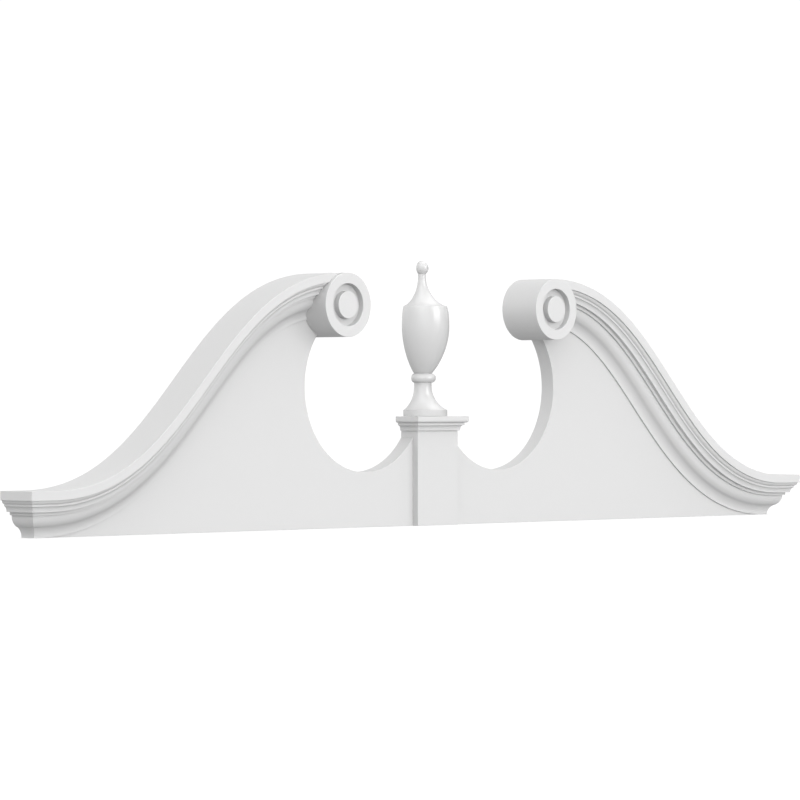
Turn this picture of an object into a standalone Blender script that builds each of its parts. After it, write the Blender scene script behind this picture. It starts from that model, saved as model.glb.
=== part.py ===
"""Broken scroll pediment for a door head: rams-head drums, raking crowns and an urn.

Metres, +Z up, +X to the right seen from the front, -Y towards the viewer.
Everything is laid out from the wall: Y = 0 is the flat back and Z = 0 the underside.
The "board_datum" empty then moves the whole assembly to its reference point.
"""
import math

import bmesh
import bpy

# Whole assembly
HALF_WIDTH = 1.2255        # centre line to the foot of each mitred return
JOINT_GAP = 0.0003         # clearance left at every joint between two pieces

# Tympanum board
BOARD_THICKNESS = 0.0368
BOARD_TOE = 0.0300         # how far each pointed end stops short of the moulding's foot
BOARD_LAP = 0.0200         # raking edge tucked up behind the moulding

# Crown moulding, its members from the top down
CROWN_FOOT_DEPTH = 0.0410  # wall to the face of the lowest member
FASCIA_HEIGHT = 0.0201
FASCIA_LIP = 0.0042
OVOLO_HEIGHT = 0.0079
OVOLO_REACH = 0.0062
FILLET_HEIGHT = 0.0046
COVE_HEIGHT = 0.0121
COVE_REACH = 0.0068
SOFFIT_REACH = 0.0097
BAND_HEIGHT = 0.0070
BAND_LIP = 0.0054
QUIRK_HEIGHT = 0.0023
OGEE_HEIGHT = 0.0430
OGEE_REACH = 0.0262
CROWN_FOOT_HEIGHT = 0.0030

# Raking line followed by the moulding's top arris
LEVEL_RUN = 0.0085         # level stretch at each outer end
LOW_EASE = 0.4000          # how far the level direction carries into the rise
HIGH_EASE = 0.4030         # the same at the top, where the line runs into the drum

# Scroll drums
DRUM_X = 0.3508
DRUM_Z = 0.5026
DRUM_RADIUS = 0.0721
DRUM_DEPTH = 0.1074
DRUM_GROOVE_OUTER = 0.0482
DRUM_GROOVE_INNER = 0.0306
DRUM_GROOVE_SINK = 0.0150
DRUM_ARRIS = 0.0010        # small round on the rim and the boss

# Round bays between the drums and the pedestal
BAY_SILL = 0.1253          # lowest point of the bay above the underside
BAY_HEEL = 0.2032          # where the bay meets the side of the pedestal
BAY_CENTRE_DROP = 0.1839   # centre of the bay below the centre of the drum
BAY_SETBACK = 0.0041       # outermost point of the bay inside the drum's outer side

# Pedestal block
PEDESTAL_WIDTH = 0.1345
PEDESTAL_DEPTH = 0.0534
PEDESTAL_HEIGHT = 0.2181

# Pedestal cap, its members from the top down
CAP_FASCIA_HEIGHT = 0.0095
CAP_OVOLO_HEIGHT = 0.0054
CAP_OVOLO_REACH = 0.0062
CAP_OVOLO_LIP = 0.0012
CAP_FILLET_HEIGHT = 0.0062
CAP_FILLET_LIP = 0.0025
CAP_COVE_HEIGHT = 0.0104
CAP_COVE_REACH = 0.0050
CAP_FOOT_HEIGHT = 0.0016
CAP_FOOT_LIP = 0.0035

# Urn finial, its members from the foot up
URN_FOOT_RADIUS = 0.0604
URN_FOOT_HEIGHT = 0.0146
URN_FOOT_STEP = 0.0014     # ledge between the foot and the flare
URN_FLARE_HEIGHT = 0.0562
URN_STEM_RADIUS = 0.0240
URN_STEM_HEIGHT = 0.0066
URN_RING_RADIUS = 0.0340
URN_RING_HEIGHT = 0.0210
URN_BODY_RADIUS = 0.0651
URN_BELLY_HEIGHT = 0.1088
URN_SHOULDER_HEIGHT = 0.0472
URN_SHOULDER_RADIUS = 0.0593
URN_LID_STEP = 0.0013      # ledge between the shoulder and the lid
URN_LID_HEIGHT = 0.0710
URN_NECK_RADIUS = 0.0103
URN_NECK_HEIGHT = 0.0037
URN_BALL_RADIUS = 0.0168

# Fineness of the solids
RAKE_STEPS = 27
DRUM_SEGMENTS = 48
BAY_STEPS = 24
URN_SEGMENTS = 20          # over the half turn that stands out from the wall

WHITE = (0.86, 0.86, 0.855)

# Sizes that follow from the ones above
CROWN_HEIGHT = (FASCIA_HEIGHT + OVOLO_HEIGHT + FILLET_HEIGHT + COVE_HEIGHT
                + BAND_HEIGHT + QUIRK_HEIGHT + OGEE_HEIGHT + CROWN_FOOT_HEIGHT)
CROWN_REACH = (FASCIA_LIP + OVOLO_REACH + COVE_REACH + SOFFIT_REACH
               + BAND_LIP + OGEE_REACH)
CAP_HEIGHT = (CAP_FASCIA_HEIGHT + CAP_OVOLO_HEIGHT + CAP_FILLET_HEIGHT
              + CAP_COVE_HEIGHT + CAP_FOOT_HEIGHT)
CAP_REACH = (CAP_OVOLO_REACH + CAP_OVOLO_LIP + CAP_FILLET_LIP
             + CAP_COVE_REACH + CAP_FOOT_LIP)
CAP_BASE_Z = PEDESTAL_HEIGHT + JOINT_GAP
URN_BASE_Z = CAP_BASE_Z + CAP_HEIGHT + JOINT_GAP


def bezier(start, first, second, end, steps):
    """Points of a cubic curve between two end points, both included."""
    points = []
    for index in range(steps + 1):
        t = index / steps
        weights = ((1 - t) ** 3, 3 * (1 - t) ** 2 * t, 3 * (1 - t) * t ** 2, t ** 3)
        controls = (start, first, second, end)
        points.append(tuple(sum(w * c[axis] for w, c in zip(weights, controls))
                            for axis in (0, 1)))
    return points


def crown_section():
    """Face of the crown as (drop below the top arris, reach beyond the foot)."""
    drop = 0.0
    reach = CROWN_REACH
    points = [(drop, reach)]
    drop += FASCIA_HEIGHT
    points.append((drop, reach))
    reach -= FASCIA_LIP
    points.append((drop, reach))
    # Ovolo: upright at the top, turned well under below
    sweep = math.radians(80)
    for step in range(1, 5):
        angle = sweep * step / 4
        points.append((drop + OVOLO_HEIGHT * math.sin(angle) / math.sin(sweep),
                       reach - OVOLO_REACH * (1 - math.cos(angle)) / (1 - math.cos(sweep))))
    drop += OVOLO_HEIGHT
    reach -= OVOLO_REACH
    drop += FILLET_HEIGHT
    points.append((drop, reach))
    # Cove: a hollow that ends upright
    for step in range(1, 6):
        angle = math.pi / 2 * step / 5
        points.append((drop + COVE_HEIGHT * (1 - math.cos(angle)),
                       reach - COVE_REACH * math.sin(angle)))
    drop += COVE_HEIGHT
    reach -= COVE_REACH + SOFFIT_REACH
    points.append((drop, reach))
    drop += BAND_HEIGHT
    points.append((drop, reach))
    reach -= BAND_LIP
    points.append((drop, reach))
    drop += QUIRK_HEIGHT
    points.append((drop, reach))
    # Ogee: round above and hollow below, upright at both ends, a short steep turn between
    sweep = math.radians(52)
    upper_height = OGEE_HEIGHT * 0.50
    upper_reach = OGEE_REACH * 0.440
    for step in range(1, 7):
        angle = sweep * step / 6
        points.append((drop + upper_height * math.sin(angle) / math.sin(sweep),
                       reach - upper_reach * (1 - math.cos(angle)) / (1 - math.cos(sweep))))
    drop += OGEE_HEIGHT
    reach -= OGEE_REACH
    lower_height = OGEE_HEIGHT * 0.453
    lower_reach = OGEE_REACH * 0.385
    sweep = math.radians(45)
    for step in range(6, -1, -1):
        angle = sweep * step / 6
        points.append((drop - lower_height * math.sin(angle) / math.sin(sweep),
                       reach + lower_reach * (1 - math.cos(angle)) / (1 - math.cos(sweep))))
    points.append((drop + CROWN_FOOT_HEIGHT, reach))
    return points


def rake_line():
    """Top arris on the right side, from over the drum to the level outer end.

    Each entry is a point (x, z) and the unit direction square to the line, pointing down.
    """
    top = (DRUM_X, DRUM_Z + DRUM_RADIUS)
    low = (HALF_WIDTH - LEVEL_RUN, CROWN_HEIGHT)
    controls = (top, (top[0] + HIGH_EASE, top[1]), (low[0] - LOW_EASE, low[1]), low)
    points = bezier(*controls, RAKE_STEPS)
    line = []
    for index, point in enumerate(points):
        t = index / RAKE_STEPS
        weights = ((1 - t) ** 2, 2 * (1 - t) * t, t ** 2)
        along = [sum(w * (controls[k + 1][axis] - controls[k][axis])
                     for k, w in enumerate(weights)) for axis in (0, 1)]
        length = math.hypot(*along)
        line.append((point, (along[1] / length, -along[0] / length)))
    return line


def below_rake(drop):
    """The raking line moved down by a drop measured square to it."""
    return [(x + down_x * drop, z + down_z * drop)
            for (x, z), (down_x, down_z) in rake_line()]


def bay_arc():
    """Edge of the right bay, from inside the drum down and round to the pedestal."""
    centre_z = DRUM_Z - BAY_CENTRE_DROP
    half_height = centre_z - BAY_SILL
    outer_x = DRUM_X + DRUM_RADIUS - BAY_SETBACK
    heel_sine = (centre_z - BAY_HEEL) / half_height
    heel_angle = math.pi + math.asin(heel_sine)
    # The bay's width is set by its outermost point and by the heel at the pedestal
    half_length = (outer_x - PEDESTAL_WIDTH / 2) / (1 + math.sqrt(1 - heel_sine ** 2))
    centre_x = outer_x - half_length
    top_angle = math.asin((BAY_CENTRE_DROP - DRUM_RADIUS / 2) / half_height)
    points = []
    for step in range(BAY_STEPS + 1):
        angle = top_angle + (heel_angle - 2 * math.pi - top_angle) * step / BAY_STEPS
        points.append((centre_x + half_length * math.cos(angle),
                       centre_z + half_height * math.sin(angle)))
    return points


def add_material(name, roughness):
    material = bpy.data.materials.new(name)
    material.use_nodes = True
    shader = material.node_tree.nodes["Principled BSDF"]
    shader.inputs["Base Color"].default_value = (*WHITE, 1.0)
    shader.inputs["Roughness"].default_value = roughness
    shader.inputs["Metallic"].default_value = 0.0
    return material


def add_object(name, mesh_builder, parent, roughness=None):
    """Turn a finished bmesh into an object; without a roughness it is a cutter."""
    bmesh.ops.recalc_face_normals(mesh_builder, faces=mesh_builder.faces)
    mesh = bpy.data.meshes.new(name)
    mesh_builder.to_mesh(mesh)
    mesh_builder.free()
    item = bpy.data.objects.new(name, mesh)
    bpy.context.collection.objects.link(item)
    item.parent = parent
    if roughness is None:
        item.hide_render = True
        item.display_type = "WIRE"
    else:
        mesh.materials.append(add_material(name, roughness))
        mesh.shade_smooth()
        mesh.set_sharp_from_angle(angle=math.radians(35))
    return item


def cut_with(item, cutter):
    modifier = item.modifiers.new(cutter.name, "BOOLEAN")
    modifier.operation = "DIFFERENCE"
    modifier.solver = "EXACT"
    modifier.object = cutter


def prism(outline, front, back):
    """Closed prism over an (x, z) outline, between two depths from the wall."""
    builder = bmesh.new()
    near = [builder.verts.new((x, -front, z)) for x, z in outline]
    far = [builder.verts.new((x, -back, z)) for x, z in outline]
    builder.faces.new(near)
    builder.faces.new(reversed(far))
    for k in range(len(outline)):
        nxt = (k + 1) % len(outline)
        builder.faces.new((near[nxt], near[k], far[k], far[nxt]))
    return builder


def stacked(rings):
    """Closed solid through a stack of horizontal rings with the same number of points."""
    builder = bmesh.new()
    loops = [[builder.verts.new(point) for point in ring] for ring in rings]
    builder.faces.new(reversed(loops[0]))
    builder.faces.new(loops[-1])
    for lower, upper in zip(loops, loops[1:]):
        for k in range(len(lower)):
            nxt = (k + 1) % len(lower)
            builder.faces.new((lower[k], lower[nxt], upper[nxt], upper[k]))
    return builder


def board_outline(toe_x, drop):
    """Board from its straight underside up to the raking edges, with bays and tongue."""
    tongue_x = PEDESTAL_WIDTH / 2
    rake = [point for point in below_rake(drop) if point[0] < toe_x - 0.001]
    toe_z = CROWN_HEIGHT - drop
    right = [(toe_x, 0.0), (toe_x, toe_z)] + list(reversed(rake)) + bay_arc()
    right[-1] = (tongue_x, right[-1][1])
    right.append((tongue_x, PEDESTAL_HEIGHT))
    return right + [(-x, z) for x, z in reversed(right)]


def clearance_outline(toe_x, drop):
    """The same raking edge carried well past the board everywhere else."""
    rake = [point for point in below_rake(drop) if point[0] < toe_x - 0.001]
    toe_z = CROWN_HEIGHT - drop
    right = [(toe_x, -CROWN_HEIGHT), (toe_x, toe_z)] + list(reversed(rake))
    return right + [(-x, z) for x, z in reversed(right)]


def crown_solid(side):
    """Raking crown with its return: side is 1 for the right and -1 for the left."""
    section = crown_section()
    builder = bmesh.new()

    def vertex(x, depth, z):
        return builder.verts.new((side * x, -depth, z))

    rings = []
    for (x, z), (down_x, down_z) in rake_line():
        ring = [vertex(x, 0.0, z)]
        for drop, reach in section:
            ring.append(vertex(x + down_x * drop, CROWN_FOOT_DEPTH + reach, z + down_z * drop))
        ring.append(vertex(x + down_x * CROWN_HEIGHT, 0.0, z + down_z * CROWN_HEIGHT))
        rings.append(ring)
    for near, far in zip(rings, rings[1:]):
        for k in range(len(near)):
            nxt = (k + 1) % len(near)
            builder.faces.new((near[k], near[nxt], far[nxt], far[k]))
    builder.faces.new(rings[0])

    # Mitred corner, then the return that dies on the wall
    mitre = [vertex(HALF_WIDTH + reach, CROWN_FOOT_DEPTH + reach, CROWN_HEIGHT - drop)
             for drop, reach in section]
    wall = [vertex(HALF_WIDTH + reach, 0.0, CROWN_HEIGHT - drop) for drop, reach in section]
    last = rings[-1]
    front = last[1:-1]
    for near, far in ((front, mitre), (mitre, wall)):
        for k in range(len(section) - 1):
            builder.faces.new((near[k], near[k + 1], far[k + 1], far[k]))
    builder.faces.new((last[0], front[0], mitre[0], wall[0]))
    builder.faces.new((last[-1], front[-1], mitre[-1], wall[-1]))
    builder.faces.new([last[0]] + wall + [last[-1]])
    return builder


def drum_section():
    """Face and side of a drum as (radius, depth from the wall), centre to back."""
    sunk = DRUM_DEPTH - DRUM_GROOVE_SINK
    return [(0.0, DRUM_DEPTH),
            (DRUM_GROOVE_INNER - DRUM_ARRIS, DRUM_DEPTH),
            (DRUM_GROOVE_INNER, DRUM_DEPTH - DRUM_ARRIS),
            (DRUM_GROOVE_INNER, sunk),
            (DRUM_GROOVE_OUTER, sunk),
            (DRUM_GROOVE_OUTER, DRUM_DEPTH - DRUM_ARRIS),
            (DRUM_GROOVE_OUTER + DRUM_ARRIS, DRUM_DEPTH),
            (DRUM_RADIUS - DRUM_ARRIS, DRUM_DEPTH),
            (DRUM_RADIUS, DRUM_DEPTH - DRUM_ARRIS),
            (DRUM_RADIUS, 0.0),
            (0.0, 0.0)]


def turned_on_depth(section, centre_x, centre_z):
    """Solid turned about a level axis square to the wall; the section starts and ends on it."""
    builder = bmesh.new()
    middle_front = builder.verts.new((centre_x, -section[0][1], centre_z))
    middle_back = builder.verts.new((centre_x, -section[-1][1], centre_z))
    rings = []
    for radius, depth in section[1:-1]:
        rings.append([builder.verts.new((
            centre_x + radius * math.cos(2 * math.pi * k / DRUM_SEGMENTS), -depth,
            centre_z + radius * math.sin(2 * math.pi * k / DRUM_SEGMENTS)))
            for k in range(DRUM_SEGMENTS)])
    for k in range(DRUM_SEGMENTS):
        nxt = (k + 1) % DRUM_SEGMENTS
        builder.faces.new((middle_front, rings[0][k], rings[0][nxt]))
        builder.faces.new((middle_back, rings[-1][nxt], rings[-1][k]))
        for inner, outer in zip(rings, rings[1:]):
            builder.faces.new((inner[k], outer[k], outer[nxt], inner[nxt]))
    return builder


def cap_rings():
    """Level outlines of the cap from its foot up; its back stays flat on the wall."""
    height = CAP_FOOT_HEIGHT
    reach = CAP_FOOT_LIP
    levels = [(0.0, reach), (height, reach)]
    for step in range(1, 5):
        angle = math.pi / 2 * step / 4
        levels.append((height + CAP_COVE_HEIGHT * math.sin(angle),
                       reach + CAP_COVE_REACH * (1 - math.cos(angle))))
    height += CAP_COVE_HEIGHT
    reach += CAP_COVE_REACH + CAP_FILLET_LIP
    levels.append((height, reach))
    height += CAP_FILLET_HEIGHT
    levels.append((height, reach))
    reach += CAP_OVOLO_LIP
    levels.append((height, reach))
    for step in range(1, 5):
        angle = math.pi / 2 * step / 4
        levels.append((height + CAP_OVOLO_HEIGHT * (1 - math.cos(angle)),
                       reach + CAP_OVOLO_REACH * math.sin(angle)))
    height += CAP_OVOLO_HEIGHT
    reach += CAP_OVOLO_REACH
    levels.append((height + CAP_FASCIA_HEIGHT, reach))
    rings = []
    for height, reach in levels:
        half = PEDESTAL_WIDTH / 2 + reach
        depth = PEDESTAL_DEPTH + reach
        z = CAP_BASE_Z + height
        rings.append([(-half, -depth, z), (half, -depth, z), (half, 0.0, z), (-half, 0.0, z)])
    return rings


def urn_section():
    """Outline of the urn as (radius, height above its foot), from the foot to the top."""
    points = [(URN_FOOT_RADIUS, 0.0), (URN_FOOT_RADIUS, URN_FOOT_HEIGHT)]
    z = URN_FOOT_HEIGHT
    radius = URN_FOOT_RADIUS - URN_FOOT_STEP
    points += bezier((radius, z), (radius - 0.0130, z + 0.0054),
                     (URN_STEM_RADIUS, z + URN_FLARE_HEIGHT * 0.43),
                     (URN_STEM_RADIUS, z + URN_FLARE_HEIGHT), 8)
    z += URN_FLARE_HEIGHT + URN_STEM_HEIGHT
    ring_middle = z + URN_RING_HEIGHT / 2
    ring_swell = URN_RING_RADIUS - URN_STEM_RADIUS
    for step in range(9):
        angle = math.pi * (step / 8 - 0.5)
        points.append((URN_STEM_RADIUS + ring_swell * math.cos(angle),
                       ring_middle + URN_RING_HEIGHT / 2 * math.sin(angle)))
    z += URN_RING_HEIGHT
    body_swell = URN_BODY_RADIUS - URN_STEM_RADIUS
    points += bezier((URN_STEM_RADIUS, z),
                     (URN_STEM_RADIUS + body_swell * 0.43, z + URN_BELLY_HEIGHT * 0.17),
                     (URN_BODY_RADIUS, z + URN_BELLY_HEIGHT * 0.57),
                     (URN_BODY_RADIUS, z + URN_BELLY_HEIGHT), 10)[1:]
    z += URN_BELLY_HEIGHT
    points += bezier((URN_BODY_RADIUS, z),
                     (URN_BODY_RADIUS, z + URN_SHOULDER_HEIGHT * 0.45),
                     (URN_SHOULDER_RADIUS + 0.0048, z + URN_SHOULDER_HEIGHT * 0.74),
                     (URN_SHOULDER_RADIUS, z + URN_SHOULDER_HEIGHT), 5)[1:]
    z += URN_SHOULDER_HEIGHT
    lid_radius = URN_SHOULDER_RADIUS - URN_LID_STEP
    lid_swell = lid_radius - URN_NECK_RADIUS
    points += bezier((lid_radius, z),
                     (lid_radius - lid_swell * 0.51, z + URN_LID_HEIGHT * 0.087),
                     (URN_NECK_RADIUS, z + URN_LID_HEIGHT * 0.51),
                     (URN_NECK_RADIUS, z + URN_LID_HEIGHT), 9)
    z += URN_LID_HEIGHT + URN_NECK_HEIGHT
    # Ball, from where its round meets the neck to the top
    start = math.asin(URN_NECK_RADIUS / URN_BALL_RADIUS)
    ball_z = z + URN_BALL_RADIUS * math.cos(start)
    for step in range(9):
        angle = start + (math.pi - start) * step / 8
        points.append((URN_BALL_RADIUS * math.sin(angle), ball_z - URN_BALL_RADIUS * math.cos(angle)))
    return points


def half_turned(section, base_z):
    """Solid turned half way round, with its flat back on the wall."""
    builder = bmesh.new()
    rings = []
    for radius, height in section[:-1]:
        rings.append([builder.verts.new((
            -radius * math.cos(math.pi * k / URN_SEGMENTS),
            -radius * math.sin(math.pi * k / URN_SEGMENTS), base_z + height))
            for k in range(URN_SEGMENTS + 1)])
    top = builder.verts.new((0.0, 0.0, base_z + section[-1][1]))
    for lower, upper in zip(rings, rings[1:]):
        for k in range(URN_SEGMENTS):
            builder.faces.new((lower[k], lower[k + 1], upper[k + 1], upper[k]))
    for k in range(URN_SEGMENTS):
        builder.faces.new((rings[-1][k], rings[-1][k + 1], top))
    builder.faces.new(reversed(rings[0]))
    builder.faces.new([ring[-1] for ring in rings] + [top] + [ring[0] for ring in reversed(rings)])
    return builder


def build():
    for item in list(bpy.data.objects):
        bpy.data.objects.remove(item)

    datum = bpy.data.objects.new("board_datum", None)
    bpy.context.collection.objects.link(datum)
    datum.location = (0.0, DRUM_DEPTH / 2, 0.0)

    # Drums, and the room each of them needs in its neighbours
    drum_cutters = {}
    for name, side in (("right", 1), ("left", -1)):
        add_object(name + "_scroll_drum",
                   turned_on_depth(drum_section(), side * DRUM_X, DRUM_Z), datum, 0.45)
        room = [(0.0, 2 * DRUM_DEPTH), (DRUM_RADIUS + JOINT_GAP, 2 * DRUM_DEPTH),
                (DRUM_RADIUS + JOINT_GAP, -DRUM_DEPTH), (0.0, -DRUM_DEPTH)]
        drum_cutters[side] = add_object(name + "_drum_room",
                                        turned_on_depth(room, side * DRUM_X, DRUM_Z), datum)

    # Board with its raking edges, bays and centre tongue
    toe_x = HALF_WIDTH - BOARD_TOE
    tuck = CROWN_HEIGHT - BOARD_LAP
    board = add_object("tympanum_board",
                       prism(board_outline(toe_x, tuck), BOARD_THICKNESS, 0.0), datum, 0.5)
    board_room = add_object("board_room",
                            prism(clearance_outline(toe_x + JOINT_GAP, tuck - JOINT_GAP),
                                  BOARD_THICKNESS + JOINT_GAP, -BOARD_THICKNESS), datum)

    # Crowns: their backs lap over the board and stop against the drums
    for name, side in (("right", 1), ("left", -1)):
        cut_with(board, drum_cutters[side])
        crown = add_object(name + "_raking_moulding", crown_solid(side), datum, 0.5)
        cut_with(crown, drum_cutters[side])
        cut_with(crown, board_room)

    # Pedestal, cap and urn on the centre line
    half = PEDESTAL_WIDTH / 2
    pedestal = [(-half, 0.0), (half, 0.0), (half, PEDESTAL_HEIGHT), (-half, PEDESTAL_HEIGHT)]
    add_object("pedestal_block",
               prism(pedestal, PEDESTAL_DEPTH, BOARD_THICKNESS + JOINT_GAP), datum, 0.5)
    add_object("pedestal_cap", stacked(cap_rings()), datum, 0.5)
    add_object("urn_finial", half_turned(urn_section(), URN_BASE_Z), datum, 0.3)


build()
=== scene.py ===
"""Broken scroll pediment for a door head, dressed for its picture.

Metres, +Z up, +X to the right seen from the front, -Y towards the viewer. The wall plane,
which is the flat back of every piece, lies at WALL_Y, and the underside at Z = 0.
"""
import math

import bmesh
import bpy
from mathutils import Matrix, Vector


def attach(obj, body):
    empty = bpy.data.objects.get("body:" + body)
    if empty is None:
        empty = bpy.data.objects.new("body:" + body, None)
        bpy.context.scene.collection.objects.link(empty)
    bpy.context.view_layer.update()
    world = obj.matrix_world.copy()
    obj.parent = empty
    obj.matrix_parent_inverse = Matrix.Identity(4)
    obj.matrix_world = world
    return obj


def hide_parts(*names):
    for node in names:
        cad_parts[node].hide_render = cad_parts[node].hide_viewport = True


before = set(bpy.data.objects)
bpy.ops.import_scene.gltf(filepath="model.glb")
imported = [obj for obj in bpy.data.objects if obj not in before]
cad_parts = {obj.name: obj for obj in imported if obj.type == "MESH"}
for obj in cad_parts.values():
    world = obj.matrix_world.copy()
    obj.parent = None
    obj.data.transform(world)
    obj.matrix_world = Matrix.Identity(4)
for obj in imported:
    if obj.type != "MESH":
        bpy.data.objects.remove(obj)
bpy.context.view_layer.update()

# Whole assembly
HALF_WIDTH = 1.2255
JOINT_GAP = 0.0003
ARRIS = 0.0006             # round left on every cast or sanded corner

# Tympanum board
BOARD_THICKNESS = 0.0368
BOARD_TOE = 0.0300
BOARD_LAP = 0.0200

# Crown moulding, its members from the top down
CROWN_FOOT_DEPTH = 0.0410
FASCIA_HEIGHT = 0.0201
FASCIA_LIP = 0.0042
OVOLO_HEIGHT = 0.0079
OVOLO_REACH = 0.0062
FILLET_HEIGHT = 0.0046
COVE_HEIGHT = 0.0121
COVE_REACH = 0.0068
SOFFIT_REACH = 0.0088
BAND_HEIGHT = 0.0070
BAND_LIP = 0.0054
QUIRK_HEIGHT = 0.0023
OGEE_HEIGHT = 0.0430
OGEE_REACH = 0.0271
CROWN_FOOT_HEIGHT = 0.0030
CROWN_FOOT_TUCK = 0.0040   # how far the foot's underside runs back before it slopes to the wall
OVOLO_SWEEP = 80           # degrees that the ovolo turns under
OGEE_ROUND = (0.50, 0.440, 52)     # shares of the ogee's height and reach, and degrees turned
OGEE_HOLLOW = (0.453, 0.385, 45)
CROWN_HEIGHT = (FASCIA_HEIGHT + OVOLO_HEIGHT + FILLET_HEIGHT + COVE_HEIGHT
                + BAND_HEIGHT + QUIRK_HEIGHT + OGEE_HEIGHT + CROWN_FOOT_HEIGHT)
CROWN_REACH = (FASCIA_LIP + OVOLO_REACH + COVE_REACH + SOFFIT_REACH
               + BAND_LIP + OGEE_REACH)

# Raking line followed by the moulding's top arris
LEVEL_RUN = 0.0085
LOW_EASE = 0.4000
HIGH_EASE = 0.4030

# Scroll drums
DRUM_X = 0.3508
DRUM_Z = 0.5026
DRUM_RADIUS = 0.0721
DRUM_DEPTH = 0.1074
DRUM_GROOVE_OUTER = 0.0482
DRUM_GROOVE_INNER = 0.0306
DRUM_GROOVE_SINK = 0.0150
DRUM_ARRIS = 0.0010        # rounder than the other corners

# Round bays
BAY_SILL = 0.1253
BAY_HEEL = 0.2032
BAY_CENTRE_DROP = 0.1839
BAY_SETBACK = 0.0041

# Pedestal block and its cap, the cap's members from the top down
PEDESTAL_WIDTH = 0.1345
PEDESTAL_DEPTH = 0.0534
PEDESTAL_HEIGHT = 0.2181
CAP_FASCIA_HEIGHT = 0.0095
CAP_OVOLO_HEIGHT = 0.0054
CAP_OVOLO_REACH = 0.0062
CAP_OVOLO_LIP = 0.0012
CAP_FILLET_HEIGHT = 0.0062
CAP_FILLET_LIP = 0.0025
CAP_COVE_HEIGHT = 0.0104
CAP_COVE_REACH = 0.0050
CAP_FOOT_HEIGHT = 0.0016
CAP_FOOT_LIP = 0.0035
CAP_ARRIS = 0.0005
CAP_HEIGHT = (CAP_FASCIA_HEIGHT + CAP_OVOLO_HEIGHT + CAP_FILLET_HEIGHT
              + CAP_COVE_HEIGHT + CAP_FOOT_HEIGHT)
CAP_BASE_Z = PEDESTAL_HEIGHT + JOINT_GAP

# Urn finial, its members from the foot up
URN_FOOT_RADIUS = 0.0604
URN_FOOT_HEIGHT = 0.0146
URN_FOOT_STEP = 0.0014
URN_FLARE_HEIGHT = 0.0562
URN_STEM_RADIUS = 0.0240
URN_STEM_HEIGHT = 0.0066
URN_RING_RADIUS = 0.0340
URN_RING_HEIGHT = 0.0210
URN_BODY_RADIUS = 0.0651
URN_BELLY_HEIGHT = 0.1088
URN_SHOULDER_HEIGHT = 0.0472
URN_SHOULDER_RADIUS = 0.0593
URN_LID_STEP = 0.0013
URN_LID_HEIGHT = 0.0710
URN_NECK_RADIUS = 0.0103
URN_NECK_HEIGHT = 0.0037
URN_BALL_RADIUS = 0.0168
# Handles of the urn's curves: shares of each curve's swell and height, or lengths where it says
URN_FLARE_START = (0.0130, 0.0054)     # lengths in and up from the foot
URN_FLARE_EASE = 0.43
URN_BELLY_START = (0.43, 0.17)
URN_BELLY_EASE = 0.57
URN_SHOULDER_EASES = (0.45, 0.74)
URN_SHOULDER_SWELL = 0.0048            # length out from the shoulder's edge
URN_LID_START = (0.51, 0.087)
URN_LID_EASE = 0.51
URN_BASE_Z = CAP_BASE_Z + CAP_HEIGHT + JOINT_GAP

WALL_Y = DRUM_DEPTH / 2
DRUM_ROOM_RADIUS = DRUM_RADIUS + JOINT_GAP

# Fineness of the finished pieces
RAKE_STEPS = 180
DRUM_SEGMENTS = 192
BAY_STEPS = 120
DRUM_SEAT_STEPS = 64       # along the board's edge round a drum
SEAT_MARGIN = 0.0002       # points of the board's edge closer than this to that arc are left out
HALVINGS = 40              # in the search for the arc's ends
URN_SEGMENTS = 96          # over the half turn that stands out from the wall
URN_FLARE_STEPS = 24
URN_RING_STEPS = 20
URN_BELLY_STEPS = 36
URN_SHOULDER_STEPS = 16
URN_LID_STEPS = 30
URN_BALL_STEPS = 22
ROUND_STEPS = 4            # points on each small round
OVOLO_STEPS = 12
COVE_STEPS = 14
OGEE_STEPS = 20            # on each half of the ogee
CAP_STEPS = 10             # on each round of the cap
BEVEL_STEPS = 3
SOFT_TURN = 22             # degrees: a turn up to this is part of a curve, not a corner
CREASE = 35                # degrees: a fold past this is shaded as a corner

# Spare lengths of the rooms that are bored out of the crowns
ROOM_FRONT = 0.2           # a drum's room, in front of the wall
ROOM_BACK = -0.1           # and behind it
ROOM_SEGMENTS = 256
BOARD_ROOM_BACK = -0.05

# Rounding of a section's corners
ROUND_ROOM = 0.3           # share of the shorter side that a round may take up
GUARD_SPREAD = 1.5         # distance of a guard point from the corner, in rounds
GUARD_ROOM = 0.45          # share of a side within which a guard point still fits
NO_LENGTH = 1e-9           # a side shorter than this has no direction

TOUCH = 1e-6               # two places closer than this are the same
MATCH_DIGITS = 6           # decimals by which an edge's ends are found again
RAKE_END_GAP = 0.001       # points of a raking line stay this far short of its end
SQUARE = 0.9999995         # a normal with more than this along one axis counts as square


# Lines and sections

def bezier(start, first, second, end, steps):
    """Points of a cubic curve between two end points, both included."""
    points = []
    for index in range(steps + 1):
        t = index / steps
        weights = ((1 - t) ** 3, 3 * (1 - t) ** 2 * t, 3 * (1 - t) * t ** 2, t ** 3)
        controls = (start, first, second, end)
        points.append(tuple(sum(w * c[axis] for w, c in zip(weights, controls))
                            for axis in (0, 1)))
    return points


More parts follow.
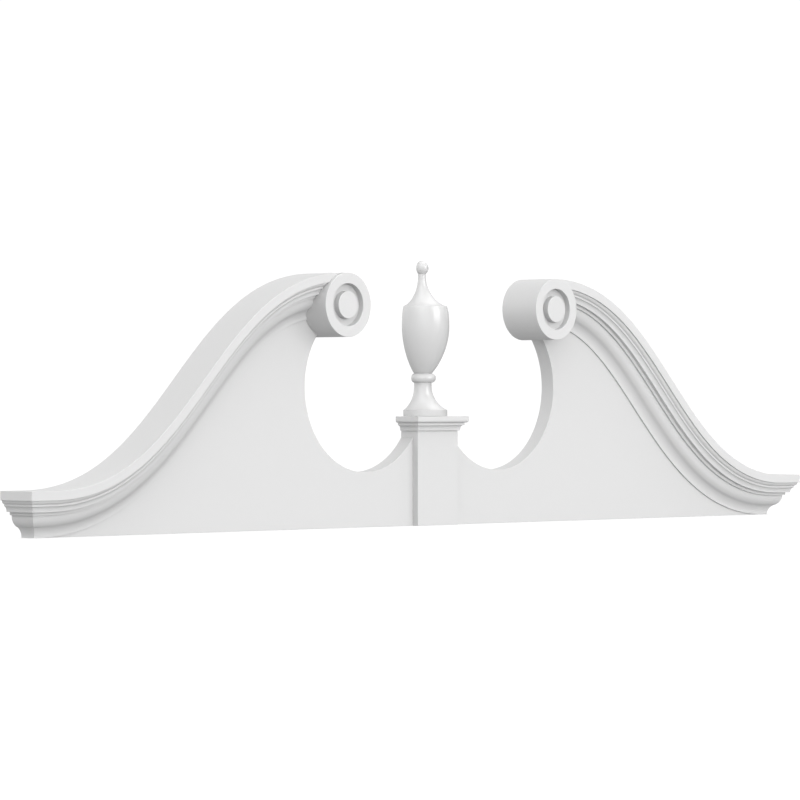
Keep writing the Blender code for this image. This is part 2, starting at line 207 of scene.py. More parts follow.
def eased(points, radius=ARRIS):
    """The same open line with its corners rounded and a guard point on both sides of each."""
    line = [Vector(point) for point in points]
    result = [line[0]]
    for before, corner, after in zip(line, line[1:], line[2:]):
        back, ahead = before - corner, after - corner
        if back.length < NO_LENGTH or ahead.length < NO_LENGTH:
            continue
        turn = math.pi - back.angle(ahead)
        if turn < math.radians(SOFT_TURN):
            result.append(corner)
            continue
        room = min(back.length, ahead.length)
        setback = min(radius * math.tan(turn / 2), ROUND_ROOM * room)
        back.normalize()
        ahead.normalize()
        guard = setback * GUARD_SPREAD
        if guard < GUARD_ROOM * (before - corner).length:
            result.append(corner + back * guard)
        for step in range(ROUND_STEPS + 1):
            t = step / ROUND_STEPS
            result.append(corner + back * setback * (1 - t) ** 2 + ahead * setback * t ** 2)
        if guard < GUARD_ROOM * (after - corner).length:
            result.append(corner + ahead * guard)
    result.append(line[-1])
    return [tuple(point) for point in result]


def turned_under(height, reach, sweep, steps):
    """Steps (down, back) along a round that starts upright and turns under by some degrees."""
    sweep = math.radians(sweep)
    angles = [sweep * step / steps for step in range(steps + 1)]
    return [(height * math.sin(angle) / math.sin(sweep),
             reach * (1 - math.cos(angle)) / (1 - math.cos(sweep))) for angle in angles]


def crown_section():
    """Face of the crown as (drop below the top arris, depth from the wall)."""
    drop = 0.0
    depth = CROWN_FOOT_DEPTH + CROWN_REACH
    points = [(0.0, CROWN_FOOT_DEPTH), (drop, depth)]
    drop += FASCIA_HEIGHT
    points.append((drop, depth))
    depth -= FASCIA_LIP
    points.append((drop, depth))
    # Ovolo: upright at the top, turned well under below
    for down, back in turned_under(OVOLO_HEIGHT, OVOLO_REACH, OVOLO_SWEEP, OVOLO_STEPS)[1:]:
        points.append((drop + down, depth - back))
    drop += OVOLO_HEIGHT + FILLET_HEIGHT
    depth -= OVOLO_REACH
    points.append((drop, depth))
    # Cove: a hollow that ends upright
    for step in range(1, COVE_STEPS + 1):
        angle = math.pi / 2 * step / COVE_STEPS
        points.append((drop + COVE_HEIGHT * (1 - math.cos(angle)),
                       depth - COVE_REACH * math.sin(angle)))
    drop += COVE_HEIGHT
    depth -= COVE_REACH + SOFFIT_REACH
    points.append((drop, depth))
    drop += BAND_HEIGHT
    points.append((drop, depth))
    depth -= BAND_LIP
    points.append((drop, depth))
    drop += QUIRK_HEIGHT
    points.append((drop, depth))
    # Ogee: round above and hollow below, upright at both ends, with a short steep turn between
    high, deep, sweep = OGEE_ROUND
    upper = turned_under(OGEE_HEIGHT * high, OGEE_REACH * deep, sweep, OGEE_STEPS)
    points += [(drop + down, depth - back) for down, back in upper[1:]]
    drop += OGEE_HEIGHT
    depth -= OGEE_REACH
    high, deep, sweep = OGEE_HOLLOW
    lower = turned_under(OGEE_HEIGHT * high, OGEE_REACH * deep, sweep, OGEE_STEPS)
    points += [(drop - down, depth + back) for down, back in reversed(lower)]
    drop += CROWN_FOOT_HEIGHT
    points += [(drop, depth), (drop, depth - CROWN_FOOT_TUCK)]
    return eased(points)


def rake_line():
    """Top arris on the right side, from over the drum to the level outer end.

    Each entry is a point (x, z) and the unit direction square to the line, pointing down.
    """
    top = (DRUM_X, DRUM_Z + DRUM_RADIUS)
    low = (HALF_WIDTH - LEVEL_RUN, CROWN_HEIGHT)
    controls = (top, (top[0] + HIGH_EASE, top[1]), (low[0] - LOW_EASE, low[1]), low)
    line = []
    for index, point in enumerate(bezier(*controls, RAKE_STEPS)):
        t = index / RAKE_STEPS
        weights = ((1 - t) ** 2, 2 * (1 - t) * t, t ** 2)
        along = Vector([sum(w * (controls[k + 1][axis] - controls[k][axis])
                            for k, w in enumerate(weights)) for axis in (0, 1)]).normalized()
        line.append((point, (along[1], -along[0])))
    return line


def below_rake(drop, end_x):
    """The raking line moved down by a drop square to it, as far out as end_x."""
    points = [(x + down_x * drop, z + down_z * drop)
              for (x, z), (down_x, down_z) in rake_line()]
    return [point for point in points if point[0] < end_x - RAKE_END_GAP]


def bay_arc():
    """Edge of the right bay, from inside the drum down and round to the pedestal."""
    centre_z = DRUM_Z - BAY_CENTRE_DROP
    half_height = centre_z - BAY_SILL
    outer_x = DRUM_X + DRUM_RADIUS - BAY_SETBACK
    heel_sine = (centre_z - BAY_HEEL) / half_height
    heel_angle = math.pi + math.asin(heel_sine)
    half_length = (outer_x - PEDESTAL_WIDTH / 2) / (1 + math.sqrt(1 - heel_sine ** 2))
    centre_x = outer_x - half_length
    top_angle = math.asin((BAY_CENTRE_DROP - DRUM_RADIUS / 2) / half_height)
    points = []
    for step in range(BAY_STEPS + 1):
        angle = top_angle + (heel_angle - 2 * math.pi - top_angle) * step / BAY_STEPS
        points.append((centre_x + half_length * math.cos(angle),
                       centre_z + half_height * math.sin(angle)))
    return points


def drum_section():
    """Face and side of a drum as (radius, depth from the wall), centre to back."""
    sunk = DRUM_DEPTH - DRUM_GROOVE_SINK
    return eased([(0.0, DRUM_DEPTH),
                  (DRUM_GROOVE_INNER, DRUM_DEPTH), (DRUM_GROOVE_INNER, sunk),
                  (DRUM_GROOVE_OUTER, sunk), (DRUM_GROOVE_OUTER, DRUM_DEPTH),
                  (DRUM_RADIUS, DRUM_DEPTH), (DRUM_RADIUS, 0.0), (0.0, 0.0)], DRUM_ARRIS)


def cap_section():
    """Face of the cap as (height above its foot, reach beyond the pedestal)."""
    height = CAP_FOOT_HEIGHT
    reach = CAP_FOOT_LIP
    points = [(0.0, 0.0), (0.0, reach), (height, reach)]
    for step in range(1, CAP_STEPS + 1):
        angle = math.pi / 2 * step / CAP_STEPS
        points.append((height + CAP_COVE_HEIGHT * math.sin(angle),
                       reach + CAP_COVE_REACH * (1 - math.cos(angle))))
    height += CAP_COVE_HEIGHT
    reach += CAP_COVE_REACH + CAP_FILLET_LIP
    points.append((height, reach))
    height += CAP_FILLET_HEIGHT
    points.append((height, reach))
    reach += CAP_OVOLO_LIP
    points.append((height, reach))
    for step in range(1, CAP_STEPS + 1):
        angle = math.pi / 2 * step / CAP_STEPS
        points.append((height + CAP_OVOLO_HEIGHT * (1 - math.cos(angle)),
                       reach + CAP_OVOLO_REACH * math.sin(angle)))
    height += CAP_OVOLO_HEIGHT + CAP_FASCIA_HEIGHT
    reach += CAP_OVOLO_REACH
    points += [(height, reach), (height, 0.0)]
    return eased(points, CAP_ARRIS)


def urn_section():
    """Outline of the urn as (radius, height above its foot), from the foot to the top."""
    points = [(0.0, 0.0), (URN_FOOT_RADIUS, 0.0), (URN_FOOT_RADIUS, URN_FOOT_HEIGHT)]
    z = URN_FOOT_HEIGHT
    radius = URN_FOOT_RADIUS - URN_FOOT_STEP
    inward, upward = URN_FLARE_START
    points += bezier((radius, z), (radius - inward, z + upward),
                     (URN_STEM_RADIUS, z + URN_FLARE_HEIGHT * URN_FLARE_EASE),
                     (URN_STEM_RADIUS, z + URN_FLARE_HEIGHT), URN_FLARE_STEPS)
    z += URN_FLARE_HEIGHT + URN_STEM_HEIGHT
    ring_middle = z + URN_RING_HEIGHT / 2
    ring_swell = URN_RING_RADIUS - URN_STEM_RADIUS
    for step in range(URN_RING_STEPS + 1):
        angle = math.pi * (step / URN_RING_STEPS - 0.5)
        points.append((URN_STEM_RADIUS + ring_swell * math.cos(angle),
                       ring_middle + URN_RING_HEIGHT / 2 * math.sin(angle)))
    z += URN_RING_HEIGHT
    body_swell = URN_BODY_RADIUS - URN_STEM_RADIUS
    outward, upward = URN_BELLY_START
    points += bezier((URN_STEM_RADIUS, z),
                     (URN_STEM_RADIUS + body_swell * outward, z + URN_BELLY_HEIGHT * upward),
                     (URN_BODY_RADIUS, z + URN_BELLY_HEIGHT * URN_BELLY_EASE),
                     (URN_BODY_RADIUS, z + URN_BELLY_HEIGHT), URN_BELLY_STEPS)[1:]
    z += URN_BELLY_HEIGHT
    low, high = URN_SHOULDER_EASES
    points += bezier((URN_BODY_RADIUS, z),
                     (URN_BODY_RADIUS, z + URN_SHOULDER_HEIGHT * low),
                     (URN_SHOULDER_RADIUS + URN_SHOULDER_SWELL, z + URN_SHOULDER_HEIGHT * high),
                     (URN_SHOULDER_RADIUS, z + URN_SHOULDER_HEIGHT), URN_SHOULDER_STEPS)[1:]
    z += URN_SHOULDER_HEIGHT
    lid_radius = URN_SHOULDER_RADIUS - URN_LID_STEP
    lid_swell = lid_radius - URN_NECK_RADIUS
    inward, upward = URN_LID_START
    points += bezier((lid_radius, z),
                     (lid_radius - lid_swell * inward, z + URN_LID_HEIGHT * upward),
                     (URN_NECK_RADIUS, z + URN_LID_HEIGHT * URN_LID_EASE),
                     (URN_NECK_RADIUS, z + URN_LID_HEIGHT), URN_LID_STEPS)
    z += URN_LID_HEIGHT + URN_NECK_HEIGHT
    # Ball, from where its round meets the neck to the top
    start = math.asin(URN_NECK_RADIUS / URN_BALL_RADIUS)
    ball_z = z + URN_BALL_RADIUS * math.cos(start)
    for step in range(URN_BALL_STEPS + 1):
        angle = start + (math.pi - start) * step / URN_BALL_STEPS
        points.append((URN_BALL_RADIUS * math.sin(angle),
                       ball_z - URN_BALL_RADIUS * math.cos(angle)))
    return eased(points)


# Mesh making

def shade(mesh):
    """Smooth over the rounds, sharp at the corners, flat on the level and upright faces."""
    mesh.shade_smooth()
    mesh.set_sharp_from_angle(angle=math.radians(CREASE))
    for face in mesh.polygons:
        if max(abs(part) for part in face.normal) > SQUARE:
            face.use_smooth = False


def as_piece(name, builder, node):
    """Finished piece from a bmesh; it stands for a solid and takes that solid's place."""
    bmesh.ops.recalc_face_normals(builder, faces=builder.faces)
    mesh = bpy.data.meshes.new(name)
    builder.to_mesh(mesh)
    builder.free()
    piece = bpy.data.objects.new(name, mesh)
    bpy.context.collection.objects.link(piece)
    shade(mesh)
    if node:
        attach(piece, "root")
        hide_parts(node)
    return piece


def bore_out(piece, cutters):
    """Takes the cutters' room out of a piece and keeps the result as its mesh."""
    for cutter in cutters:
        modifier = piece.modifiers.new(cutter.name, "BOOLEAN")
        modifier.operation = "DIFFERENCE"
        modifier.solver = "EXACT"
        modifier.object = cutter
    shown = piece.evaluated_get(bpy.context.evaluated_depsgraph_get())
    mesh = bpy.data.meshes.new_from_object(shown)
    piece.modifiers.clear()
    piece.data = mesh
    shade(mesh)


def prism(outline, front, back):
    """Closed prism over an (x, z) outline, between two depths from the wall."""
    builder = bmesh.new()
    near = [builder.verts.new((x, WALL_Y - front, z)) for x, z in outline]
    far = [builder.verts.new((x, WALL_Y - back, z)) for x, z in outline]
    builder.faces.new(near)
    builder.faces.new(reversed(far))
    for k in range(len(outline)):
        nxt = (k + 1) % len(outline)
        builder.faces.new((near[nxt], near[k], far[k], far[nxt]))
    return builder


def drum_turning(section, centre_x, segments=DRUM_SEGMENTS):
    """Solid turned about a level axis square to the wall; the section starts and ends on it."""
    builder = bmesh.new()
    middle_front = builder.verts.new((centre_x, WALL_Y - section[0][1], DRUM_Z))
    middle_back = builder.verts.new((centre_x, WALL_Y - section[-1][1], DRUM_Z))
    turns = [(math.cos(2 * math.pi * k / segments), math.sin(2 * math.pi * k / segments))
             for k in range(segments)]
    rings = [[builder.verts.new((centre_x + radius * across, WALL_Y - depth,
                                 DRUM_Z + radius * up)) for across, up in turns]
             for radius, depth in section[1:-1]]
    for k in range(segments):
        nxt = (k + 1) % segments
        builder.faces.new((middle_front, rings[0][k], rings[0][nxt]))
        builder.faces.new((middle_back, rings[-1][nxt], rings[-1][k]))
        for inner, outer in zip(rings, rings[1:]):
            builder.faces.new((inner[k], outer[k], outer[nxt], inner[nxt]))
    return builder


def drum_room(centre_x):
    """Cylinder that clears a drum by the joint gap, in front of the wall and behind it."""
    section = [(0.0, ROOM_FRONT), (DRUM_ROOM_RADIUS, ROOM_FRONT),
               (DRUM_ROOM_RADIUS, ROOM_BACK), (0.0, ROOM_BACK)]
    return as_piece("drum_room", drum_turning(section, centre_x, ROOM_SEGMENTS), None)


# The pieces

def from_drum(point):
    """Distance of an (x, z) point from the right drum's centre."""
    return math.hypot(point[0] - DRUM_X, point[1] - DRUM_Z)


def drum_edge(inside, outside):
    """Angle about the drum's centre where a line from inside its room leaves it."""
    for _ in range(HALVINGS):
        middle = [(a + b) / 2 for a, b in zip(inside, outside)]
        if from_drum(middle) < DRUM_ROOM_RADIUS:
            inside = middle
        else:
            outside = middle
    return math.atan2(outside[1] - DRUM_Z, outside[0] - DRUM_X)


def make_board():
    """Flat board with its raking edges, round bays and the tongue behind the pedestal."""
    toe_x = HALF_WIDTH - BOARD_TOE
    drop = CROWN_HEIGHT - BOARD_LAP
    half = PEDESTAL_WIDTH / 2

    # Raking edge from the toe up to the drum, round under the drum, then down the bay
    rake = list(reversed(below_rake(drop, toe_x)))
    arc = bay_arc()[:-1]
    clear_radius = DRUM_ROOM_RADIUS + SEAT_MARGIN
    rake_clear = [point for point in rake if from_drum(point) > clear_radius]
    arc_clear = [point for point in arc if from_drum(point) > clear_radius]
    start = drum_edge(rake[len(rake_clear)], rake_clear[-1])
    end = drum_edge(arc[len(arc) - len(arc_clear) - 1], arc_clear[0])
    angles = [start + (end - start) * step / DRUM_SEAT_STEPS
              for step in range(DRUM_SEAT_STEPS + 1)]
    seat = [(DRUM_X + DRUM_ROOM_RADIUS * math.cos(angle),
             DRUM_Z + DRUM_ROOM_RADIUS * math.sin(angle)) for angle in angles]
    bay = [seat[-1]] + arc_clear + [(half, BAY_HEEL)]
    right = [(toe_x, 0.0), (toe_x, CROWN_HEIGHT - drop)]
    right += rake_clear + seat[:-1] + bay + [(half, PEDESTAL_HEIGHT)]
    outline = right + [(-x, z) for x, z in reversed(right)]
    builder = prism(outline, BOARD_THICKNESS, 0.0)

    def mark(x, z):
        return round(abs(x), MATCH_DIGITS), round(z, MATCH_DIGITS)

    # Small round along the cut edges of both bays and along the underside
    rounded = {mark(x, z) for x, z in bay} | {mark(toe_x, 0.0)}
    front_y = WALL_Y - BOARD_THICKNESS
    cut = [edge for edge in builder.edges
           if all(abs(vert.co.y - front_y) < TOUCH
                  and mark(vert.co.x, vert.co.z) in rounded
                  for vert in edge.verts)]
    bmesh.ops.bevel(builder, geom=cut, offset=ARRIS, segments=BEVEL_STEPS, profile=0.5,
                    affect="EDGES")
    return as_piece("board_panel", builder, "tympanum_board")


def make_crown(name, node, side):
    """Raking crown with its mitred return: side is 1 for the right and -1 for the left."""
    section = crown_section()
    builder = bmesh.new()

    def vertex(x, depth, z):
        return builder.verts.new((side * x, WALL_Y - depth, z))

    rings = []
    for (x, z), (down_x, down_z) in rake_line():
        ring = [vertex(x, 0.0, z)]
        ring += [vertex(x + down_x * drop, depth, z + down_z * drop) for drop, depth in section]
        ring.append(vertex(x + down_x * CROWN_HEIGHT, 0.0, z + down_z * CROWN_HEIGHT))
        rings.append(ring)
    for near, far in zip(rings, rings[1:]):
        for k in range(len(near)):
            nxt = (k + 1) % len(near)
            builder.faces.new((near[k], near[nxt], far[nxt], far[k]))
    builder.faces.new(rings[0])

    # Mitred corner, then the return that dies on the wall
    corner_x = HALF_WIDTH - CROWN_FOOT_DEPTH
    mitre = [vertex(corner_x + depth, depth, CROWN_HEIGHT - drop) for drop, depth in section]
    wall = [vertex(corner_x + depth, 0.0, CROWN_HEIGHT - drop) for drop, depth in section]
    last = rings[-1]
    front = last[1:-1]
    for near, far in ((front, mitre), (mitre, wall)):
        for k in range(len(section) - 1):
            builder.faces.new((near[k], near[k + 1], far[k + 1], far[k]))
    builder.faces.new((last[0], front[0], mitre[0], wall[0]))
    builder.faces.new((last[-1], front[-1], mitre[-1], wall[-1]))
    builder.faces.new([last[0]] + wall + [last[-1]])
    return as_piece(name, builder, node)


def make_pedestal():
    """Plain block applied to the face of the board."""
    half = PEDESTAL_WIDTH / 2
    builder = prism([(-half, 0.0), (half, 0.0), (half, PEDESTAL_HEIGHT), (-half, PEDESTAL_HEIGHT)],
                    PEDESTAL_DEPTH, BOARD_THICKNESS + JOINT_GAP)
    front_y = WALL_Y - PEDESTAL_DEPTH
    corners = [edge for edge in builder.edges
               if all(abs(vert.co.y - front_y) < TOUCH for vert in edge.verts)]
    bmesh.ops.bevel(builder, geom=corners, offset=ARRIS, segments=BEVEL_STEPS, profile=0.5,
                    affect="EDGES")
    return as_piece("pedestal_face", builder, "pedestal_block")


def make_cap():
    """Moulded cap, returned on both sides; its back stays flat on the wall."""
    builder = bmesh.new()
    rings = []
    for height, reach in cap_section():
        half = PEDESTAL_WIDTH / 2 + reach
        front_y = WALL_Y - PEDESTAL_DEPTH - reach
        z = CAP_BASE_Z + height
        rings.append([builder.verts.new(point) for point in (
            (-half, front_y, z), (half, front_y, z), (half, WALL_Y, z), (-half, WALL_Y, z))])
    builder.faces.new(reversed(rings[0]))
    builder.faces.new(rings[-1])
    for lower, upper in zip(rings, rings[1:]):
        for k in range(4):
            nxt = (k + 1) % 4
            builder.faces.new((lower[k], lower[nxt], upper[nxt], upper[k]))
    return as_piece("cap_moulding", builder, "pedestal_cap")


def make_urn():
    """Urn turned half way round, with its flat back on the wall."""
    section = urn_section()
    builder = bmesh.new()
    turns = [(-math.cos(math.pi * k / URN_SEGMENTS), -math.sin(math.pi * k / URN_SEGMENTS))
             for k in range(URN_SEGMENTS + 1)]
    foot = builder.verts.new((0.0, WALL_Y, URN_BASE_Z))
    top = builder.verts.new((0.0, WALL_Y, URN_BASE_Z + section[-1][1]))
    rings = [[builder.verts.new((radius * across, WALL_Y + radius * out, URN_BASE_Z + height))
              for across, out in turns] for radius, height in section[1:-1]]
    for lower, upper in zip(rings, rings[1:]):
        for k in range(URN_SEGMENTS):
            builder.faces.new((lower[k], lower[k + 1], upper[k + 1], upper[k]))
        builder.faces.new((lower[-1], lower[0], upper[0], upper[-1]))
    for k in range(URN_SEGMENTS):
        builder.faces.new((rings[-1][k], rings[-1][k + 1], top))
        builder.faces.new((rings[0][k + 1], rings[0][k], foot))
    builder.faces.new((rings[-1][-1], rings[-1][0], top))
    builder.faces.new((rings[0][0], rings[0][-1], foot))
    return as_piece("urn_turning", builder, "urn_finial")


board = make_board()
crowns = {1: make_crown("crown_right", "right_raking_moulding", 1),
          -1: make_crown("crown_left", "left_raking_moulding", -1)}
drums = {side: as_piece("drum_" + name, drum_turning(drum_section(), side * DRUM_X),
                        name + "_scroll_drum")
         for name, side in (("right", 1), ("left", -1))}
pedestal = make_pedestal()
cap = make_cap()
urn = make_urn()

# Room for the drums in the crowns, and for the board behind them
toe_x = HALF_WIDTH - BOARD_TOE + JOINT_GAP
tuck = CROWN_HEIGHT - BOARD_LAP - JOINT_GAP
edge = [(toe_x, -CROWN_HEIGHT), (toe_x, CROWN_HEIGHT - tuck)]
edge += list(reversed(below_rake(tuck, toe_x)))
board_room = as_piece("board_room", prism(edge + [(-x, z) for x, z in reversed(edge)],
                                          BOARD_THICKNESS + JOINT_GAP, BOARD_ROOM_BACK), None)
rooms = {side: drum_room(side * DRUM_X) for side in (1, -1)}
for side, crown in crowns.items():
    bore_out(crown, [rooms[side], board_room])
for cutter in [board_room] + list(rooms.values()):
    bpy.data.objects.remove(cutter)


# Finishes

def math_node(tree, operation, first, second, clamp=False):
    """Result of one sum in a node tree; each side is a number or another node's output."""
    node = tree.nodes.new("ShaderNodeMath")
    node.operation = operation
    node.use_clamp = clamp
    for socket, value in zip(node.inputs, (first, second)):
        if isinstance(value, (int, float)):
            socket.default_value = value
        else:
            tree.links.new(value, socket)
    return node.outputs[0]


def by_ray(tree, kind_of_ray, otherwise, value):
    """A value for one kind of ray, and another for all the rest."""
    level = tree.nodes.new("ShaderNodeMapRange")
    level.inputs["To Min"].default_value = otherwise
    level.inputs["To Max"].default_value = value
    tree.links.new(kind_of_ray, level.inputs["Value"])
    return level.outputs[0]


def new_group(name, inputs, outputs):
    """Empty shader node group with named sockets; inputs carry their resting values."""
    group = bpy.data.node_groups.new(name, "ShaderNodeTree")
    for socket, kind, value in inputs:
        made = group.interface.new_socket(name=socket, in_out="INPUT", socket_type=kind)
        made.default_value = value
    for socket, kind in outputs:
        group.interface.new_socket(name=socket, in_out="OUTPUT", socket_type=kind)
    return group, group.nodes.new("NodeGroupInput"), group.nodes.new("NodeGroupOutput")


NOISE_MIDDLE = 0.5         # taken off a noise, so that it swings to both sides of zero
MOTTLE_SHARE = 0.6         # of the fine mottle beside the broad clouds
DUST_TONE = (0.52, 0.50, 0.47, 1.0)
DUST_PATCHES = 1.4
DUST_EVENLY = 0.7
DUST_DULLS = 0.5           # how much rougher the coat gets under dust
RELIEF_DEPTH = 0.0004


def primer_coat_group():
    """White primer as sprayed: a faint uneven tone, fine orange peel and settled dust."""
    number, tone = "NodeSocketFloat", "NodeSocketColor"
    group, given, made = new_group(
        "primer coat",
        [("White", tone, (0.83, 0.83, 0.83, 1.0)), ("Uneven tone", number, 0.012),
         ("Dust", number, 0.02), ("Roughness", number, 0.5),
         ("Roughness spread", number, 0.08), ("Peel size", number, 900.0),
         ("Peel height", number, 0.4), ("Cast waves", number, 0.3)],
        [("Color", tone), ("Roughness", number), ("Height", number)])
    nodes, links = group.nodes, group.links

    def add(first, second, clamp=False):
        return math_node(group, "ADD", first, second, clamp)

    def times(first, second, clamp=False):
        return math_node(group, "MULTIPLY", first, second, clamp)

    def noise(scale, detail, roughness=0.5):
        node = nodes.new("ShaderNodeTexNoise")
        node.inputs["Detail"].default_value = detail
        node.inputs["Roughness"].default_value = roughness
        if isinstance(scale, (int, float)):
            node.inputs["Scale"].default_value = scale
        else:
            links.new(scale, node.inputs["Scale"])
        links.new(place.outputs["Object"], node.inputs["Vector"])
        return math_node(group, "SUBTRACT", node.outputs["Fac"], NOISE_MIDDLE)

    place = nodes.new("ShaderNodeTexCoord")
    broad = noise(scale=7.0, detail=3.0)
    fine = noise(scale=60.0, detail=4.0, roughness=0.6)
    peel = noise(scale=given.outputs["Peel size"], detail=2.0)
    waves = noise(scale=26.0, detail=1.0)

    # Tone: broad clouds and a finer mottle
    mottle = add(broad, times(fine, MOTTLE_SHARE))
    clouds = add(times(mottle, given.outputs["Uneven tone"]), 1.0)
    toned = nodes.new("ShaderNodeVectorMath")
    toned.operation = "SCALE"
    links.new(given.outputs["White"], toned.inputs[0])
    links.new(clouds, toned.inputs["Scale"])
    facing = nodes.new("ShaderNodeNewGeometry")
    split = nodes.new("ShaderNodeSeparateXYZ")
    links.new(facing.outputs["Normal"], split.inputs[0])
    # Dust lies in patches, and only on what faces up
    upward = times(split.outputs["Z"], 1.0, clamp=True)
    settled = times(add(times(fine, DUST_PATCHES), DUST_EVENLY),
                    times(upward, given.outputs["Dust"]), clamp=True)
    dusty = nodes.new("ShaderNodeMix")
    dusty.data_type = "RGBA"
    links.new(settled, dusty.inputs["Factor"])
    links.new(toned.outputs[0], dusty.inputs["A"])
    dusty.inputs["B"].default_value = DUST_TONE
    links.new(dusty.outputs["Result"], made.inputs["Color"])

    # Roughness wanders with the mottle and rises a little under dust
    wander = times(mottle, given.outputs["Roughness spread"])
    duller = times(settled, DUST_DULLS)
    links.new(add(add(given.outputs["Roughness"], wander), duller, clamp=True),
              made.inputs["Roughness"])

    # Relief: orange peel over the slow waves of the mould
    relief = add(times(peel, given.outputs["Peel height"]),
                 times(waves, given.outputs["Cast waves"]))
    links.new(relief, made.inputs["Height"])
    return group


PRIMER = primer_coat_group()
THROWN = (0.4, 0.4, 0.4, 1.0)      # tone of a surface for the light that it throws on others


def primed(name, values, bump, coat=0.0, coat_roughness=0.1):
    """Material of white primer; values go to the group's sockets of the same names."""
    material = bpy.data.materials.new(name)
    material.use_nodes = True
    nodes, links = material.node_tree.nodes, material.node_tree.links
    shader = nodes["Principled BSDF"]
    finish = nodes.new("ShaderNodeGroup")
    finish.node_tree = PRIMER
    finish.label = "primer coat"
    for socket, value in values.items():
        finish.inputs[socket].default_value = value
    relief = nodes.new("ShaderNodeBump")
    relief.inputs["Strength"].default_value = bump
    relief.inputs["Distance"].default_value = RELIEF_DEPTH
    # Light thrown from one surface onto the next is toned down, as in a high-key picture
    ray = nodes.new("ShaderNodeLightPath")
    thrown = nodes.new("ShaderNodeMix")
    thrown.data_type = "RGBA"
    thrown.inputs["B"].default_value = THROWN
    links.new(ray.outputs["Is Diffuse Ray"], thrown.inputs["Factor"])
    links.new(finish.outputs["Color"], thrown.inputs["A"])
    links.new(thrown.outputs["Result"], shader.inputs["Base Color"])
    links.new(finish.outputs["Roughness"], shader.inputs["Roughness"])
    links.new(finish.outputs["Height"], relief.inputs["Height"])
    links.new(relief.outputs["Normal"], shader.inputs["Normal"])
    shader.inputs["Metallic"].default_value = 0.0
    shader.inputs["Specular IOR Level"].default_value = 0.5
    shader.inputs["Coat Weight"].default_value = coat
    shader.inputs["Coat Roughness"].default_value = coat_roughness
    return material


WHITE = (0.735, 0.735, 0.735, 1.0)
URN_WHITE = (0.70, 0.70, 0.70, 1.0)
board_finish = primed("primed board, rolled", {
    "White": WHITE, "Uneven tone": 0.010, "Roughness": 0.55, "Peel size": 620.0,
    "Peel height": 0.5, "Cast waves": 0.1}, 0.25)
moulding_finish = primed("primed crown, cast", {
    "White": WHITE, "Uneven tone": 0.012, "Roughness": 0.50, "Peel size": 900.0,
    "Peel height": 0.4, "Cast waves": 0.4}, 0.20)
drum_finish = primed("primed drum, turned", {
    "White": WHITE, "Uneven tone": 0.012, "Roughness": 0.50, "Peel size": 1100.0,
    "Peel height": 0.4, "Cast waves": 0.2}, 0.18)
pedestal_finish = primed("primed pedestal, sanded", {
    "White": WHITE, "Uneven tone": 0.010, "Roughness": 0.52, "Peel size": 700.0,
    "Peel height": 0.4, "Cast waves": 0.1}, 0.20)
cap_finish = primed("primed cap, cast", {
    "White": WHITE, "Uneven tone": 0.010, "Roughness": 0.48, "Peel size": 1000.0,
    "Peel height": 0.3, "Cast waves": 0.2}, 0.18)
urn_finish = primed("primed urn, satin", {
    "White": URN_WHITE, "Uneven tone": 0.008, "Dust": 0.01, "Roughness": 0.24,
    "Roughness spread": 0.03, "Peel size": 500.0, "Peel height": 0.15, "Cast waves": 0.2},
    0.10, coat=0.6, coat_roughness=0.14)

for piece, material, slot in (
        (board, board_finish, "board"), (crowns[1], moulding_finish, "moulding"),
        (crowns[-1], moulding_finish, "moulding"), (drums[1], drum_finish, "drum"),
        (drums[-1], drum_finish, "drum"), (pedestal, pedestal_finish, "pedestal"),
        (cap, cap_finish, "cap"), (urn, urn_finish, "urn")):
    piece.data.materials.clear()
    piece.data.materials.append(material)


# Floor, light and camera

def studio_shader(material, seen, lit):
    """Plain pale floor: near white to the eye with a breath of shadow, and evenly lit.

    Each of seen and lit is the pair (paint, glow), for the eye and for the light it gives back.
    """
    tree = material.node_tree
    shader = tree.nodes["Principled BSDF"]
    shader.inputs["Roughness"].default_value = 1.0
    shader.inputs["Specular IOR Level"].default_value = 0.0
    shader.inputs["Emission Color"].default_value = (1.0, 1.0, 1.0, 1.0)
    ray = tree.nodes.new("ShaderNodeLightPath")
    for socket, eye, light in zip(("Base Color", "Emission Strength"), seen, lit):
        tree.links.new(by_ray(tree, ray.outputs["Is Camera Ray"], light, eye),
                       shader.inputs[socket])


FLOOR_HALF = 40.0
FLOOR_DROP = 0.0002        # keeps the floor clear of the underside
FLOOR_SEEN = (0.20, 0.86)
FLOOR_LIT = (0.02, 0.39)
floor_mesh = bpy.data.meshes.new("studio_floor")
floor_mesh.from_pydata([(-FLOOR_HALF, -FLOOR_HALF, 0), (FLOOR_HALF, -FLOOR_HALF, 0),
                        (FLOOR_HALF, FLOOR_HALF, 0), (-FLOOR_HALF, FLOOR_HALF, 0)],
                       [], [(0, 1, 2, 3)])
floor = bpy.data.objects.new("studio_floor", floor_mesh)
floor.location.z = -FLOOR_DROP
bpy.context.collection.objects.link(floor)
floor_finish = bpy.data.materials.new("pale studio floor")
floor_finish.use_nodes = True
studio_shader(floor_finish, FLOOR_SEEN, FLOOR_LIT)
floor_mesh.materials.append(floor_finish)

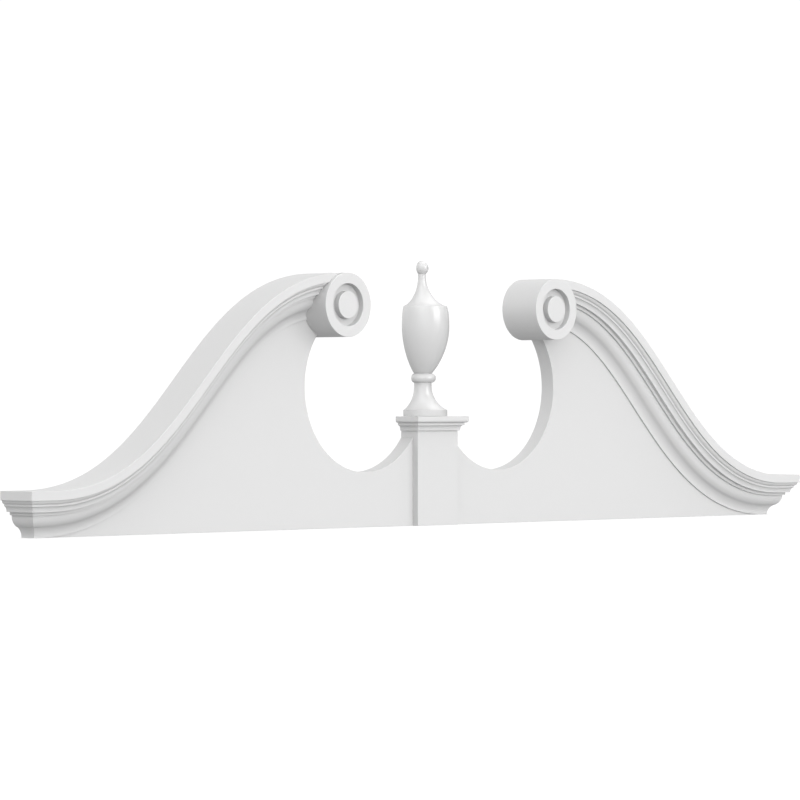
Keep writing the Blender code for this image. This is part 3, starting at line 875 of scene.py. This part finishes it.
# Soft surroundings: broad and narrow glows, by azimuth, elevation, narrowness and strength
GLOWS = ((262, 5, 40, 6.34), (240, 5, 40, 4.86), (135, 12, 8, 1.81), (0, 50, 8, 1.69),
         (225, 50, 8, 1.50), (225, 12, 8, 1.12), (0, 90, 8, 1.10), (240, 50, 40, 0.77),
         (45, 12, 8, 0.71), (315, 12, 8, 0.57))
NARROW = 20                # narrower glows than this are left out of mirror images
BACKDROP = 1.05            # strength of the plain white behind the piece
world = bpy.data.worlds.new("soft surroundings")
bpy.context.scene.world = world
world.use_nodes = True
sky = world.node_tree
nodes, links = sky.nodes, sky.links
nodes.clear()
direction = nodes.new("ShaderNodeTexCoord")
ray = nodes.new("ShaderNodeLightPath")
level = None
for azimuth, elevation, narrowness, strength in GLOWS:
    around, up = math.radians(azimuth), math.radians(elevation)
    aim = nodes.new("ShaderNodeVectorMath")
    aim.operation = "DOT_PRODUCT"
    aim.inputs[1].default_value = (math.cos(around) * math.cos(up),
                                   math.sin(around) * math.cos(up), math.sin(up))
    links.new(direction.outputs["Generated"], aim.inputs[0])
    glow = math_node(sky, "MAXIMUM", aim.outputs["Value"], 0.0)
    glow = math_node(sky, "POWER", glow, narrowness)
    glow = math_node(sky, "MULTIPLY", glow, strength)
    if narrowness > NARROW:
        # Narrow glows are for the matt faces and leave no mirror image on the satin urn
        glow = math_node(sky, "MULTIPLY", glow,
                         by_ray(sky, ray.outputs["Is Glossy Ray"], 1.0, 0.0))
    level = glow if level is None else math_node(sky, "ADD", level, glow)
lit = nodes.new("ShaderNodeBackground")
lit.inputs["Color"].default_value = (1.0, 1.0, 1.0, 1.0)
links.new(level, lit.inputs["Strength"])
backdrop = nodes.new("ShaderNodeBackground")
backdrop.inputs["Color"].default_value = (1.0, 1.0, 1.0, 1.0)
backdrop.inputs["Strength"].default_value = BACKDROP
choose = nodes.new("ShaderNodeMixShader")
links.new(ray.outputs["Is Camera Ray"], choose.inputs[0])
links.new(lit.outputs[0], choose.inputs[1])
links.new(backdrop.outputs[0], choose.inputs[2])
out = nodes.new("ShaderNodeOutputWorld")
links.new(choose.outputs[0], out.inputs["Surface"])


KEY_SIDE = (0.376, -0.864, 0.335)  # from the piece towards the main light
LIT_POINT = (0.0, 0.0, 0.3)


def softbox(name, toward, distance, size, radiance):
    """Square soft light that faces the middle of the piece from a given direction."""
    light = bpy.data.lights.new(name, "AREA")
    light.shape = "SQUARE"
    light.size = size
    light.energy = radiance * math.pi * size * size
    item = bpy.data.objects.new(name, light)
    bpy.context.collection.objects.link(item)
    aim = Vector(toward).normalized()
    item.location = Vector(LIT_POINT) + aim * distance
    item.rotation_euler = aim.to_track_quat("Z", "Y").to_euler()
    return item


softbox("key", KEY_SIDE, distance=9.0, size=5.0, radiance=1.6)
# Only adds to the gloss, on the urn above all
sheen = softbox("key sheen", KEY_SIDE, distance=8.0, size=4.0, radiance=2.6)
sheen.visible_diffuse = False

# Level view with a long lens, from the front left
CAMERA_PLACE = (-7.067778, -6.625037, 0.302303)
CAMERA_TURN = -0.808870    # radians, from facing the wall squarely
CAMERA_FILM = 36.0         # mm
CAMERA_LENS = 188.9349     # mm
CAMERA_SHIFT = (-0.0012213, -0.0071871)
CAMERA_REACH = 100.0       # metres seen ahead
camera_data = bpy.data.cameras.new("camera")
camera = bpy.data.objects.new("camera", camera_data)
bpy.context.collection.objects.link(camera)
camera.location = CAMERA_PLACE
camera.rotation_euler = (math.pi / 2, 0.0, CAMERA_TURN)
camera_data.sensor_width = CAMERA_FILM
camera_data.lens = CAMERA_LENS
camera_data.shift_x, camera_data.shift_y = CAMERA_SHIFT
camera_data.clip_end = CAMERA_REACH
bpy.context.scene.camera = camera

view = bpy.context.scene.view_settings
view.view_transform = "Standard"
view.look = "None"
view.exposure = 0.0
view.gamma = 1.0
